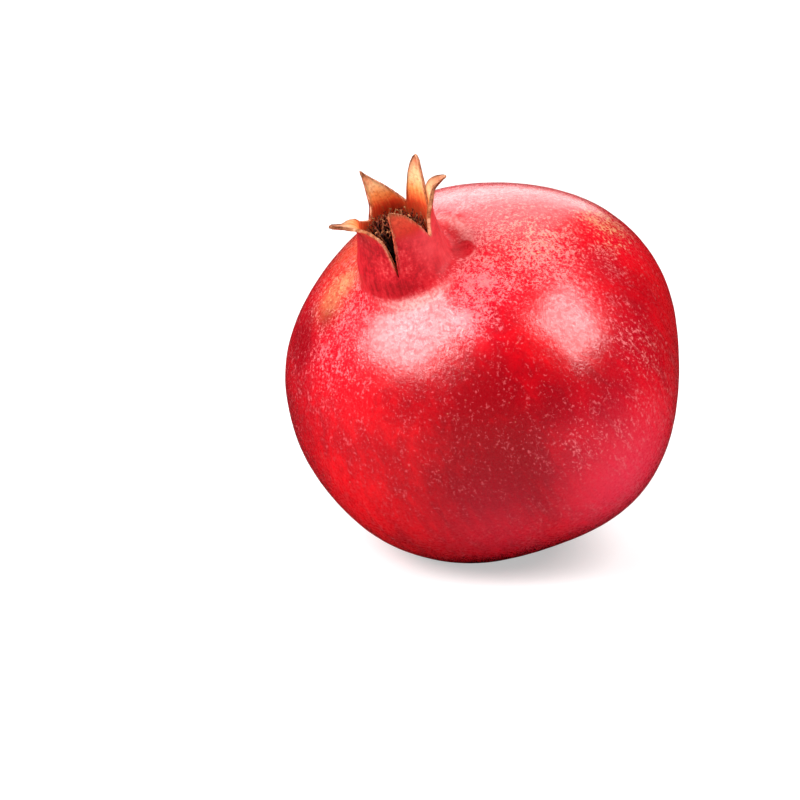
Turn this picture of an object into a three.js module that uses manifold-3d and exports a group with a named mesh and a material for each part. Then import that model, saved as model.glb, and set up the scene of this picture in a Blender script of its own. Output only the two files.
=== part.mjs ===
// A whole ripe pomegranate, lying tipped over on its side so that the crown points up and forward.
// Millimetres, +Z up. The origin is the centre of the small flat spot that the fruit rests on, and the
// crown leans towards -Y.
//
// Three solids: the fruit (rind, calyx tube and the five lobes of the crown, which grew as one piece), the
// dried stamens inside the calyx tube, and the clipped woody stub of the stalk at the other end.

import * as THREE from "three";
import Module from "manifold-3d";

const wasm = await Module();
wasm.setup();

// ---- rind: a near-sphere measured in its own frame, +Z from stalk to crown ----
const RADIUS = 49.0; // half of the width across the fruit's axis
const STALK_HALF = 43.6; // from the centre to the stalk end
const CROWN_HALF = 43.1; // from the centre to the crown end, under the calyx
// Flattened sides: [how many round the fruit, depth as a share of the radius, direction in degrees]
const SIDES = [
  [5, 0.0145, 62.8],
  [2, 0.0184, 8.0],
  [3, 0.0084, 97.2],
  [4, 0.0097, 73.6],
];
const DIMPLE = { depth: 1.8, width: 6.0 }; // the hollow round the stalk
const LUMP = 0.3; // height of the low uneven lumps all over

// ---- how the fruit lies ----
const LEAN = 41.0; // degrees from upright to the fruit's axis, tipped towards -Y
const CENTRE = new THREE.Vector3(1.7, 4.9, 43.45);
const SINK = 0.3; // how far the underside is pressed flat where it rests

// ---- calyx tube: it stands on the crown end, tilted back towards upright ----
const FOOT_RADIUS = 12.3;
const RIM_RADIUS = 9.5;
const TUBE = 14.6; // from the foot of the tube up to the gaps between the lobes
const FOOT = new THREE.Vector3(-0.8, -0.5, 40.4);
const TILT = 18.0; // degrees back towards upright
const SIDEWAYS = 6.0; // degrees towards +X
// Degrees from the crown pole where the rind starts to rise into the tube: less in front, more behind
const SHOULDER = { front: 20.0, back: 24.0 };
const FILLET_TOP = 6.0; // height on the tube where that rise ends
const FILLET_REACH = { rind: 0.5, tube: 0.33 }; // how far the rise keeps the direction of each
const WALL = 1.5;
const CUP_DEPTH = 11.5;
const FLOOR_RADIUS = 7.2;
const FLOOR_SAG = 1.2;

// ---- the five lobes, by their direction round the tube in degrees ----
// from, to: the gaps at either side, at the heights low0 and low1 over the rim
// tip: where the point is between the gaps, -1 to 1; length: its height; round0, round1: 1 is a straight
// edge up to the point and more is a bulging one; lean and curl: degrees outward, the curl between the
// shares curl0 and curl1 of the length; flat: how far it loses the tube's curve; drift: the point's shift
// sideways; split0, split1: a tear down into the tube at that side, splitWidth degrees wide; blunt: the
// radius of the point; twist: degrees that the lobe turns about its own middle; wall: how thick its point is
const LOBES = [
  { from: -54, to: 8, low0: 6, low1: -1.6, tip: -0.8, length: 9, round0: 1.5, round1: 1.9,
    lean: -4, curl: -6, curl0: 0.5, curl1: 1, flat: 0.2, drift: 0, split0: 13.8, splitWidth: 5, split: 1,
    blunt: 0.5, twist: 0, wall: 0.85 },
  { from: 8, to: 62, low0: -1.6, low1: 0, tip: 0, length: 13.3, round0: 1, round1: 1.6,
    lean: 9, curl: 70, curl0: 0.45, curl1: 1.05, flat: 0.3, drift: 0,
    blunt: 0.85, twist: -42, wall: 1.1 },
  { from: 62, to: 113, low0: 0, low1: 0, tip: 0, length: 12, round0: 2, round1: 2,
    lean: 8, curl: 14, curl0: 0.3, curl1: 1, flat: 0.3, drift: 0.9,
    blunt: 0.5, twist: 0, wall: 0.85 },
  { from: 113, to: 177, low0: 0, low1: -2.5, tip: 0.3, length: 9.8, round0: 1, round1: 1.2,
    lean: 5, curl: 6, curl0: 0.3, curl1: 1, flat: 0.5, drift: 2.6,
    blunt: 0.45, twist: 0, wall: 0.85 },
  { from: 177, to: 306, low0: -2.5, low1: -0.5, tip: 0.1, length: 9.4, round0: 0.62, round1: 0.62,
    lean: 14, curl: 50, curl0: 0, curl1: 0.45, flat: 0.1, drift: 0, split1: 7.3, splitWidth: 16, split: 2,
    blunt: 1.15, twist: 0, wall: 1.35 },
];
const LEAN_OVER = 0.3; // share of the length in which the lean comes in
const EDGE_STIFFNESS = 0.35; // a lobe's side edges curl less than its middle by this share

// ---- dried stamens: a dense tuft that fills the calyx tube ----
const STAMENS = 58;
const THREAD_RADIUS = 0.34;
const ANTHER_RADIUS = 0.62;
const TUFT = { radius: 5.9, height: 10.2, spread: 1.7 };
const PAD = { radius: 6.5, top: 4.4, bottom: 2.3, edge: 3.5 };

// ---- stalk stub ----
const STUB = { radius: 2.5, length: 5.2, slant: 0.9, gap: 0.35 };

// ---- how finely the surfaces are split ----
// Rings round the rind: [the angle from the stalk pole where they end, how many], closer where it rests.
const RIND_RINGS = [
  [() => rad(16), 3],
  [() => rad(66), 13],
  [shoulder, 12],
];
const RINGS = { fillet: 4, outside: 10, inside: 9, floor: 2 };
const COLUMNS = 14; // a lobe, plus a few along each tear

const rad = THREE.MathUtils.degToRad;
const clamp = THREE.MathUtils.clamp;

// The surface of the rind at polar angle th from the stalk pole and direction ph.
function rind(th, ph) {
  const up = -Math.cos(th);
  const out = Math.sin(th);
  let size = 1 / Math.hypot(up / (up < 0 ? STALK_HALF : CROWN_HALF), out / RADIUS);
  const across = size * out;
  let swell = 1;
  for (const [count, share, at] of SIDES) swell += out * out * share * Math.cos(count * (ph - rad(at)));
  size = size * swell + LUMP * out * out * lumps(th, ph);
  if (up < 0) size -= DIMPLE.depth * Math.exp(-((across / DIMPLE.width) ** 2));
  return new THREE.Vector3(size * out * Math.cos(ph), size * out * Math.sin(ph), size * up);
}

// Low lumps, 15 to 30 mm across, between about -1 and 1.
function lumps(th, ph) {
  const broad = Math.sin(5 * th + 1.3) * Math.cos(4 * ph + 0.7);
  return 0.6 * broad + 0.4 * Math.sin(8 * th) * Math.cos(7 * ph + 2.1);
}

// Radius of the outside of the calyx tube at height s.
function tubeRadius(s) {
  return RIM_RADIUS + (FOOT_RADIUS - RIM_RADIUS) * (1 - clamp(s / TUBE, 0, 1)) ** 1.25;
}

// From the tube's own frame into the fruit's.
function fromTube(x, y, s) {
  return new THREE.Vector3(x, y, s)
    .applyAxisAngle(new THREE.Vector3(0, 1, 0), rad(SIDEWAYS))
    .applyAxisAngle(new THREE.Vector3(1, 0, 0), -rad(TILT))
    .add(FOOT);
}

// How far a lobe has curled outward at length l, in the direction d from its middle.
function curlAt(lobe, l, d) {
  const t = l / lobe.length;
  const rise = clamp(t / LEAN_OVER, 0, 1);
  const turn = THREE.MathUtils.smoothstep(t, lobe.curl0, lobe.curl1);
  return rad(lobe.lean * rise + lobe.curl * turn) * (1 - EDGE_STIFFNESS * (d / lobe.half) ** 2);
}

// A point of a lobe, at direction ph, length l above the rim and radius r before the lobe curls.
function onLobe(lobe, ph, l, r) {
  const d = ph - lobe.middle;
  const t = clamp(l / lobe.length, 0, 1.3);
  const flat = lobe.flat * Math.min(2 * t, 1);
  const place = new THREE.Vector2(
    (1 - flat) * r * Math.sin(d) + flat * r * d * 0.9 + lobe.drift * t ** 1.2,
    (1 - flat) * (r * Math.cos(d) - RIM_RADIUS) + flat * (r - RIM_RADIUS),
  );
  place.rotateAround(new THREE.Vector2(), rad(lobe.twist) * THREE.MathUtils.smoothstep(t, 0.15, 0.9));
  const { x: sideways, y: behind } = place;
  let out = 0;
  let up = 0;
  const steps = 24;
  for (let i = 0; i < steps; i++) {
    const k = curlAt(lobe, ((i + 0.5) / steps) * l, d);
    out += (Math.sin(k) * l) / steps;
    up += (Math.cos(k) * l) / steps;
  }
  const k = curlAt(lobe, l, d);
  const far = RIM_RADIUS + out + behind * Math.cos(k);
  const c = Math.cos(lobe.middle);
  const s = Math.sin(lobe.middle);
  return fromTube(far * c - sideways * s, far * s + sideways * c, TUBE + up - behind * Math.sin(k));
}

// Height of a lobe's outline over the rim, at u from -1 to 1 between its gaps.
function outline(lobe, u) {
  const right = u >= lobe.tip;
  const away = Math.abs(u - lobe.tip) / (right ? 1 - lobe.tip : 1 + lobe.tip);
  const low = right ? lobe.low1 : lobe.low0;
  const height = low + (lobe.length - low) * (1 - away ** (right ? lobe.round1 : lobe.round0));
  const half = THREE.MathUtils.radToDeg(lobe.half);
  const tear = (depth, degrees) =>
    depth ? depth * Math.max(0, 1 - degrees / lobe.splitWidth) ** lobe.split : 0;
  const top = height - tear(lobe.split0, (u + 1) * half) - tear(lobe.split1, (1 - u) * half);
  const beside = Math.min((Math.abs(u - lobe.tip) * lobe.half * RIM_RADIUS) / lobe.blunt, 1);
  const rounded = lobe.length - lobe.blunt * (1 - Math.sqrt(1 - beside * beside));
  return beside < 1 ? Math.max(top, rounded) : top;
}

// The columns that run up the fruit and over its crown: the direction, lobe and outline height of each.
function columns() {
  const list = [];
  for (const lobe of LOBES) {
    lobe.middle = rad((lobe.from + lobe.to) / 2);
    lobe.half = rad((lobe.to - lobe.from) / 2);
    const before = Math.max(2, Math.round((COLUMNS * (1 + lobe.tip)) / 2));
    let places = [];
    for (let i = 0; i < before; i++) places.push(-1 + ((lobe.tip + 1) * i) / before);
    for (let i = before; i < COLUMNS; i++) {
      places.push(lobe.tip + ((1 - lobe.tip) * (i - before)) / (COLUMNS - before));
    }
    const degree = 1 / THREE.MathUtils.radToDeg(lobe.half);
    if (lobe.split0) places.push(-1 + 1.2 * degree, -1 + 2.6 * degree);
    if (lobe.split1) {
      places = places.slice(0, -2);
      for (const share of [0.85, 0.6, 0.38, 0.2, 0.08]) places.push(1 - share * lobe.splitWidth * degree);
    }
    places.sort((a, b) => a - b);
    for (const u of places) list.push({ ph: lobe.middle + u * lobe.half, lobe, top: outline(lobe, u) });
  }
  return list;
}

// A point of the tube or of a lobe at height s, on its outside or its inside.
function onWall({ ph, lobe }, s, inside) {
  const l = s - TUBE;
  if (l > 0) {
    const thick = WALL + (lobe.wall - WALL) * Math.min(l / lobe.length, 1);
    return onLobe(lobe, ph, l, inside ? RIM_RADIUS - thick : RIM_RADIUS);
  }
  let r = tubeRadius(s);
  if (inside) {
    const narrowing = tubeRadius(TUBE - CUP_DEPTH) - WALL - FLOOR_RADIUS;
    r -= WALL + narrowing * clamp(-l / CUP_DEPTH, 0, 1) ** 3;
  }
  return fromTube(r * Math.cos(ph), r * Math.sin(ph), s);
}

// Polar angle from the stalk pole where the rise into the tube starts, in the direction ph.
function shoulder(ph) {
  const { front, back } = SHOULDER;
  return Math.PI - rad((front + back) / 2 + ((back - front) / 2) * Math.sin(ph));
}

// The rise from the rind into the tube, as a smooth curve that leaves both along their own direction.
function fillet(column, t) {
  const start = shoulder(column.ph);
  const a = rind(start, column.ph);
  const b = onWall(column, FILLET_TOP, false);
  const reach = a.distanceTo(b);
  const leave = rind(start + 1e-3, column.ph).sub(a).setLength(FILLET_REACH.rind * reach).add(a);
  const arrive = onWall(column, FILLET_TOP + 0.01, false).sub(b).setLength(-FILLET_REACH.tube * reach).add(b);
  return new THREE.CubicBezierCurve3(a, leave, arrive, b).getPoint(t);
}

// Lays the fruit down: tips it over its resting spot and presses that spot flat.
function lieDown(point) {
  const p = point.clone().applyAxisAngle(new THREE.Vector3(1, 0, 0), rad(LEAN)).add(CENTRE);
  if (p.z <= -SINK) p.z = 0;
  else if (p.z < SINK) p.z = (p.z + SINK) ** 2 / (4 * SINK);
  return p;
}

// The closed surface through a stack of rings, from the first point to the last one.
function skin(first, rings, last) {
  const around = rings[0].length;
  const points = [first, ...rings.flat(), last];
  const at = (ring, i) => 1 + ring * around + (i % around);
  const faces = [];
  for (let i = 0; i < around; i++) {
    faces.push(0, at(0, i + 1), at(0, i));
    for (let ring = 0; ring < rings.length - 1; ring++) {
      faces.push(at(ring, i), at(ring, i + 1), at(ring + 1, i + 1));
      faces.push(at(ring, i), at(ring + 1, i + 1), at(ring + 1, i));
    }
    faces.push(at(rings.length - 1, i), at(rings.length - 1, i + 1), points.length - 1);
  }
  const geometry = new THREE.BufferGeometry().setFromPoints(points);
  geometry.setIndex(faces);
  return geometry;
}

// Rind, tube, lobes, then back down the inside of the tube to the floor of the cup.
function fruitSkin() {
  const all = columns();
  const rings = [];
  const add = (point) => rings.push(all.map((column) => lieDown(point(column))));
  let start = 0;
  for (const [end, count] of RIND_RINGS) {
    for (let i = 1; i <= count; i++) add(({ ph }) => rind(start + ((end(ph) - start) * i) / count, ph));
    start = end(0);
  }
  for (let i = 1; i <= RINGS.fillet; i++) add((column) => fillet(column, i / RINGS.fillet));
  for (let i = 1; i <= RINGS.outside; i++) {
    const share = i / RINGS.outside;
    add((column) => onWall(column, FILLET_TOP + (TUBE + column.top - FILLET_TOP) * share, false));
  }
  for (let i = 0; i <= RINGS.inside; i++) {
    const share = i / RINGS.inside;
    add((column) => onWall(column, TUBE + column.top - (CUP_DEPTH + column.top) * share, true));
  }
  for (let i = 1; i <= RINGS.floor; i++) {
    const f = 1 - i / (RINGS.floor + 1);
    const s = TUBE - CUP_DEPTH - FLOOR_SAG * (1 - f * f);
    add(({ ph }) => fromTube(FLOOR_RADIUS * f * Math.cos(ph), FLOOR_RADIUS * f * Math.sin(ph), s));
  }
  return skin(lieDown(rind(0, 0)), rings, lieDown(fromTube(0, 0, TUBE - CUP_DEPTH - FLOOR_SAG)));
}

// A repeatable random number from 0 to 1.
let seed = 20;
function random() {
  seed = (seed * 1103515245 + 12345) % 2147483648;
  return seed / 2147483648;
}

// A round of points about a centre, square to a direction.
function roundOf(centre, direction, radius, sides, turn) {
  const across = new THREE.Vector3(1, 0, 0).cross(direction).normalize();
  const other = direction.clone().cross(across).normalize();
  return Array.from({ length: sides }, (_, i) => {
    const a = turn + (2 * Math.PI * i) / sides;
    const point = centre.clone().addScaledVector(across, radius * Math.cos(a));
    return point.addScaledVector(other, radius * Math.sin(a));
  });
}

// One stamen: a thread that rises from the pad, bends and ends in a swollen anther.
function stamen(index) {
  const share = Math.sqrt((index + 0.5) / STAMENS);
  const ph = index * 2.39996 + 0.5 * random();
  const r = TUFT.radius * share;
  const height = TUFT.height * (1 - 0.18 * random()) + 0.8 * share;
  const bend = (random() - 0.5) * 2 * TUFT.spread;
  const reach = Math.min(r + 0.35 * (random() - 0.3) * TUFT.spread, TUFT.radius);
  const root = new THREE.Vector3(0.86 * r * Math.cos(ph), 0.86 * r * Math.sin(ph), PAD.bottom + 1.3);
  const end = new THREE.Vector3(
    reach * Math.cos(ph + bend / (r + 2)),
    reach * Math.sin(ph + bend / (r + 2)),
    PAD.top + height,
  );
  const middle = root.clone().lerp(end, 0.55);
  middle.x += (random() - 0.5) * TUFT.spread * 0.8;
  middle.y += (random() - 0.5) * TUFT.spread * 0.8;
  const path = new THREE.QuadraticBezierCurve3(root, middle, end);
  const stops = [
    [0.0, THREAD_RADIUS * 1.3],
    [0.4, THREAD_RADIUS],
    [0.84, THREAD_RADIUS * 0.9],
    [0.91, ANTHER_RADIUS],
    [0.98, ANTHER_RADIUS * 0.7],
  ];
  const turn = random() * Math.PI;
  const rings = stops.map(([t, radius]) => roundOf(path.getPoint(t), path.getTangent(t), radius, 4, turn));
  return solid(skin(root.clone().setZ(root.z - 0.1), rings, end));
}

// A closed surface as a solid to join, and a solid as a surface again.
function solid(geometry) {
  const faces = new Uint32Array(geometry.index.array);
  const points = new Float32Array(geometry.getAttribute("position").array);
  const made = new wasm.Manifold(new wasm.Mesh({ numProp: 3, vertProperties: points, triVerts: faces }));
  if (made.volume() > 0) return made;
  for (let i = 0; i < faces.length; i += 3) faces.subarray(i, i + 2).reverse();
  return new wasm.Manifold(new wasm.Mesh({ numProp: 3, vertProperties: points, triVerts: faces }));
}
function surface(made) {
  const mesh = made.getMesh();
  const geometry = new THREE.BufferGeometry();
  geometry.setAttribute("position", new THREE.Float32BufferAttribute(mesh.vertProperties, 3));
  geometry.setIndex(Array.from(mesh.triVerts));
  return geometry;
}

// The tuft of stamens on the round pad that they all grow from, in the fruit's resting place.
function tuft() {
  const rounds = [
    [PAD.radius * 0.6, PAD.bottom + 0.35],
    [PAD.radius, PAD.edge],
    [PAD.radius, PAD.top - 0.2],
    [PAD.radius * 0.9, PAD.top],
  ];
  const up = new THREE.Vector3(0, 0, 1);
  const rings = rounds.map(([radius, s]) => roundOf(new THREE.Vector3(0, 0, s), up, radius, 20, 0));
  let joined = solid(skin(new THREE.Vector3(0, 0, PAD.bottom), rings, new THREE.Vector3(0, 0, PAD.top)));
  for (let i = 0; i < STAMENS; i++) joined = joined.add(stamen(i));
  const geometry = surface(joined);
  placeAll(geometry, (p) => lieDown(fromTube(p.x, p.y, p.z)));
  return geometry;
}

// The stub: a short woody peg in the dimple, cut off at a slant.
function stub() {
  const top = -(STALK_HALF - DIMPLE.depth) - STUB.gap;
  const end = top - STUB.length;
  const shape = [
    [0.6, top],
    [0.94, top - 0.25],
    [1.0, top - 1.2],
    [0.9, top - 2.6],
    [0.96, end + 0.5],
    [0.84, end],
  ];
  const around = 18;
  const rings = shape.map(([share, z], row) =>
    Array.from({ length: around }, (_, i) => {
      const a = (-2 * Math.PI * i) / around;
      const r = STUB.radius * share * (1 + 0.05 * Math.cos(3 * a + 0.4));
      const slant = row >= 4 ? (STUB.slant * Math.cos(a)) / 2 : 0;
      return lieDown(new THREE.Vector3(r * Math.cos(a), r * Math.sin(a), z + slant));
    }),
  );
  return skin(lieDown(new THREE.Vector3(0, 0, top + 0.03)), rings, lieDown(new THREE.Vector3(0, 0, end)));
}

function placeAll(geometry, move) {
  const position = geometry.getAttribute("position");
  const p = new THREE.Vector3();
  for (let i = 0; i < position.count; i++) {
    p.fromBufferAttribute(position, i);
    const q = move(p);
    position.setXYZ(i, q.x, q.y, q.z);
  }
}

function piece(name, geometry, color, roughness) {
  const mesh = new THREE.Mesh(geometry, new THREE.MeshStandardMaterial({ color, roughness, metalness: 0 }));
  mesh.name = name;
  return mesh;
}

const pomegranate = new THREE.Group();
pomegranate.name = "pomegranate";
pomegranate.add(
  piece("fruit", fruitSkin(), 0xb5182a, 0.35),
  piece("stamens", tuft(), 0x6b3a24, 0.85),
  piece("stem_stub", stub(), 0x7a5a3c, 0.8),
);
export default pomegranate;
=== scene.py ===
import bpy
import numpy as np
from mathutils import Matrix, Quaternion, Vector


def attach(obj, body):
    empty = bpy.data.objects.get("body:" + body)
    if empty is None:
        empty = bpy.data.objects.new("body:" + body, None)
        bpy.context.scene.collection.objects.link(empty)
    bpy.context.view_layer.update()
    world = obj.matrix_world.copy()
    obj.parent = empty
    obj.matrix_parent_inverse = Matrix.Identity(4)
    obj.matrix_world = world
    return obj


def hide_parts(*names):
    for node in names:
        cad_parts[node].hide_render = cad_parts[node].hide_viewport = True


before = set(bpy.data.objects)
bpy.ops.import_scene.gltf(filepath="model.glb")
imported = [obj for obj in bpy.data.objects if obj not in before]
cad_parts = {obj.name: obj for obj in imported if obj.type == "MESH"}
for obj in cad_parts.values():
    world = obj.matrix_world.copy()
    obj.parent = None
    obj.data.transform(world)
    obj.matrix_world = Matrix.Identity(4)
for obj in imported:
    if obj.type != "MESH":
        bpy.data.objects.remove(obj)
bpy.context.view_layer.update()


# ---------------------------------------------------------------------------------------------------
# The fruit: the rind, the calyx tube and the five lobes of the crown, which grew as one piece. The
# rind is a tough leathery skin over the seeds. The tube is what is left of the flower: it dried open,
# tore at its gaps and split down its front, and its lobes curled as they dried.
# ---------------------------------------------------------------------------------------------------

MM = 0.001
RADIUS, STALK_HALF, CROWN_HALF = 49.0, 43.6, 43.1
# how it swells to soft sides, as (how many, by what share of its size, where in degrees)
SIDES = [(5, 0.0145, 62.8), (2, 0.0184, 8.0), (3, 0.0084, 97.2), (4, 0.0097, 73.6)]
DIMPLE_DEPTH, DIMPLE_WIDTH = 1.8, 6.0
LUMP = 0.3
LEAN, CENTRE, SINK = 41.0, (1.7, 4.9, 43.45), 0.3
FOOT_RADIUS, RIM_RADIUS, TUBE, NARROWING = 12.3, 9.5, 14.6, 1.25
FOOT, TILT, SIDEWAYS = (-0.8, -0.5, 40.4), 18.0, 6.0
SHOULDER, SHOULDER_TURN, FILLET_TOP = 22.0, 2.0, 6.0
FILLET_PULL_BELOW, FILLET_PULL_ABOVE = 0.50, 0.33
WALL, EDGE_ROUND = 1.5, 0.45
CUP_DEPTH, FLOOR_RADIUS, FLOOR_SAG = 11.5, 7.2, 1.2
LEAN_OVER, EDGE_STIFFNESS, CURL_STEPS, FLAT_WIDTH = 0.3, 0.35, 24, 0.9
FRAY, ROLLED_EDGE, ROLL_WIDTH = 0.28, 0.3, 0.6  # how uneven the dried edges are, and the roll of them

# A lobe runs from start to end in degrees. In mm it is low at both, length high at its tip, drifts
# sideways, tears down at an end and has a blunt point. It leans, curls and twists in degrees.
LOBE_WORDS = (
    "start end low0 low1 tip length round0 round1 lean curl curl0 curl1 "
    "flat drift tear0 tear1 wide power blunt twist tip_wall dry"
).split()
LOBES = [
    (-54, 8, 6, -1.6, -0.8, 9, 1.5, 1.9, -4, -6, 0.5, 1, 0.2, 0, 13.8, 0, 5, 1, 0.5, 0, 0.85, 0.1),
    (8, 62, -1.6, 0, 0, 13.3, 1, 1.6, 9, 70, 0.45, 1.05, 0.3, 0, 0, 0, 1, 1, 0.85, -42, 1.1, 0.35),
    (62, 113, 0, 0, 0, 12, 2, 2, 8, 14, 0.3, 1, 0.3, 0.9, 0, 0, 1, 1, 0.5, 0, 0.85, 0),
    (113, 177, 0, -2.5, 0.3, 9.8, 1, 1.2, 5, 6, 0.3, 1, 0.5, 2.6, 0, 0, 1, 1, 0.45, 0, 0.85, 0.15),
    (177, 306, -2.5, -0.5, 0.1, 9.4, 0.62, 0.62, 14, 50, 0, 0.45, 0.1, 0, 0, 7.3, 16, 2, 1.15, 0, 1.35, 1),
]
LOBES = [dict(zip(LOBE_WORDS, lobe)) for lobe in LOBES]
COLUMN_DEGREES = 1.25
TEAR_COLUMNS = ((0.4, 0.8, 1.7, 2.1, 3.1, 4.4), (0.5, 1.0, 1.9, 3.1, 4.4))  # more beside a tear, in degrees
RIND_ROWS, FILLET_ROWS, OUTSIDE_ROWS, RIM_ROWS, INSIDE_ROWS, FLOOR_ROWS = 140, 14, 40, 7, 34, 8


def stack(x, y, z):
    return np.stack(np.broadcast_arrays(x, y, z), -1)


def smooth(t, a, b):
    t = np.clip((t - a) / (b - a), 0, 1)
    return t * t * (3 - 2 * t)


def bell(distance, width):
    return np.exp(-((distance / width) ** 2))


def rind(th, ph):
    """The rind at polar angle th from the stalk end and direction ph."""
    up, out = -np.cos(th), np.sin(th)
    size = 1 / np.hypot(up / np.where(up < 0, STALK_HALF, CROWN_HALF), out / RADIUS)
    across = size * out
    swell = 1 + sum(out**2 * share * np.cos(n * (ph - np.radians(at))) for n, share, at in SIDES)
    lumps = 0.6 * np.sin(5 * th + 1.3) * np.cos(4 * ph + 0.7) + 0.4 * np.sin(8 * th) * np.cos(7 * ph + 2.1)
    size = size * swell + LUMP * out**2 * lumps
    size = size - np.where(up < 0, DIMPLE_DEPTH * bell(across, DIMPLE_WIDTH), 0)
    return stack(size * out * np.cos(ph), size * out * np.sin(ph), size * up)


def tube_radius(s):
    return RIM_RADIUS + (FOOT_RADIUS - RIM_RADIUS) * (1 - np.clip(s / TUBE, 0, 1)) ** NARROWING


TUBE_FRAME = (
    Matrix.Translation(FOOT)
    @ Matrix.Rotation(-np.radians(TILT), 4, "X")
    @ Matrix.Rotation(np.radians(SIDEWAYS), 4, "Y")
)


def from_tube(x, y, s):
    turn = np.array(TUBE_FRAME)
    return stack(x, y, s) @ turn[:3, :3].T + turn[:3, 3]


def curl_at(c, l, d):
    t = l / c["length"]
    bent = c["lean"] * np.clip(t / LEAN_OVER, 0, 1) + c["curl"] * smooth(t, c["curl0"], c["curl1"])
    return np.radians(bent) * (1 - EDGE_STIFFNESS * (d / c["half"]) ** 2)


def on_lobe(c, l, r):
    """Points of the lobes at length l over the rim and radius r before they curl."""
    d = c["ph"] - c["middle"]
    t = np.clip(l / c["length"], 0, 1.3)
    flat = c["flat"] * np.minimum(2 * t, 1)
    sideways = (1 - flat) * r * np.sin(d) + flat * r * d * FLAT_WIDTH + c["drift"] * t**1.2
    behind = (1 - flat) * (r * np.cos(d) - RIM_RADIUS) + flat * (r - RIM_RADIUS)
    twist = np.radians(c["twist"]) * smooth(t, 0.15, 0.9)
    sideways, behind = (
        sideways * np.cos(twist) - behind * np.sin(twist),
        behind * np.cos(twist) + sideways * np.sin(twist),
    )
    turns = [curl_at(c, (i + 0.5) / CURL_STEPS * l, d) for i in range(CURL_STEPS)]
    out = sum(np.sin(k) for k in turns) * l / CURL_STEPS
    up = sum(np.cos(k) for k in turns) * l / CURL_STEPS
    k = curl_at(c, l, d)
    far = RIM_RADIUS + out + behind * np.cos(k)
    co, si = np.cos(c["middle"]), np.sin(c["middle"])
    return from_tube(far * co - sideways * si, far * si + sideways * co, TUBE + up - behind * np.sin(k))


def make_columns():
    """The columns that run up the fruit and over its crown, with the lobe that each one ends in."""
    columns = []
    for lobe in LOBES:
        half = (lobe["end"] - lobe["start"]) / 2
        lobe["middle"], lobe["half"] = np.radians((lobe["end"] + lobe["start"]) / 2), np.radians(half)
        count = round(2 * half / COLUMN_DEGREES)
        before = round(count * (1 + lobe["tip"]) / 2)
        places = list(np.linspace(-1, lobe["tip"], before, endpoint=False))
        places += list(np.linspace(lobe["tip"], 1, count - before, endpoint=False))
        if lobe["tear0"]:
            places += [-1 + degrees / half for degrees in TEAR_COLUMNS[0]]
        if lobe["tear1"]:
            places += [1 - degrees / half for degrees in TEAR_COLUMNS[1]]
        for u in sorted(places):
            right = u >= lobe["tip"]
            away = abs(u - lobe["tip"]) / (1 - lobe["tip"] if right else 1 + lobe["tip"])
            low, power = (lobe["low1"], lobe["round1"]) if right else (lobe["low0"], lobe["round0"])
            top = low + (lobe["length"] - low) * (1 - away**power)
            top -= lobe["tear0"] * max(0, 1 - (u + 1) * half / lobe["wide"]) ** lobe["power"]
            top -= lobe["tear1"] * max(0, 1 - (1 - u) * half / lobe["wide"]) ** lobe["power"]
            ph = lobe["middle"] + u * lobe["half"]
            beside = abs(u - lobe["tip"]) * lobe["half"] * RIM_RADIUS / lobe["blunt"]
            if beside < 1:
                top = max(top, lobe["length"] - lobe["blunt"] * (1 - (1 - beside**2) ** 0.5))
            frayed = 0.5 + 0.5 * np.sin(29 * ph + 1.3) * np.sin(47 * ph)
            top -= FRAY * frayed * min(1, max(0, top + 2) / 3)
            columns.append(dict(lobe, ph=ph, top=top))
    return {key: np.array([column[key] for column in columns]) for key in columns[0]}


def on_wall(c, s, inside):
    """The tube or a lobe at height s: its outside (0), its inside (1) or between."""
    l = np.maximum(s - TUBE, 0)
    thick = WALL + (c["tip_wall"] - WALL) * np.minimum(l / c["length"], 1)
    lobe = on_lobe(c, l, RIM_RADIUS - inside * thick)
    narrowing = tube_radius(TUBE - CUP_DEPTH) - WALL - FLOOR_RADIUS
    hollow = WALL + narrowing * np.clip((TUBE - s) / CUP_DEPTH, 0, 1) ** 3
    r = tube_radius(s) - inside * hollow
    tube = from_tube(r * np.cos(c["ph"]), r * np.sin(c["ph"]), s)
    return np.where((s > TUBE)[:, None], lobe, tube)


def lie_down(points):
    """Tips the fruit over its resting spot and presses that spot flat."""
    lean = np.radians(LEAN)
    x, y, z = points[..., 0], points[..., 1], points[..., 2]
    x, y, z = x, y * np.cos(lean) - z * np.sin(lean), y * np.sin(lean) + z * np.cos(lean)
    x, y, z = x + CENTRE[0], y + CENTRE[1], z + CENTRE[2]
    z = np.where(z <= -SINK, 0, np.where(z < SINK, (z + SINK) ** 2 / (4 * SINK), z))
    return stack(x, y, z) * MM


def unit(ways):
    return ways / np.linalg.norm(ways, axis=1, keepdims=True)


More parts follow.
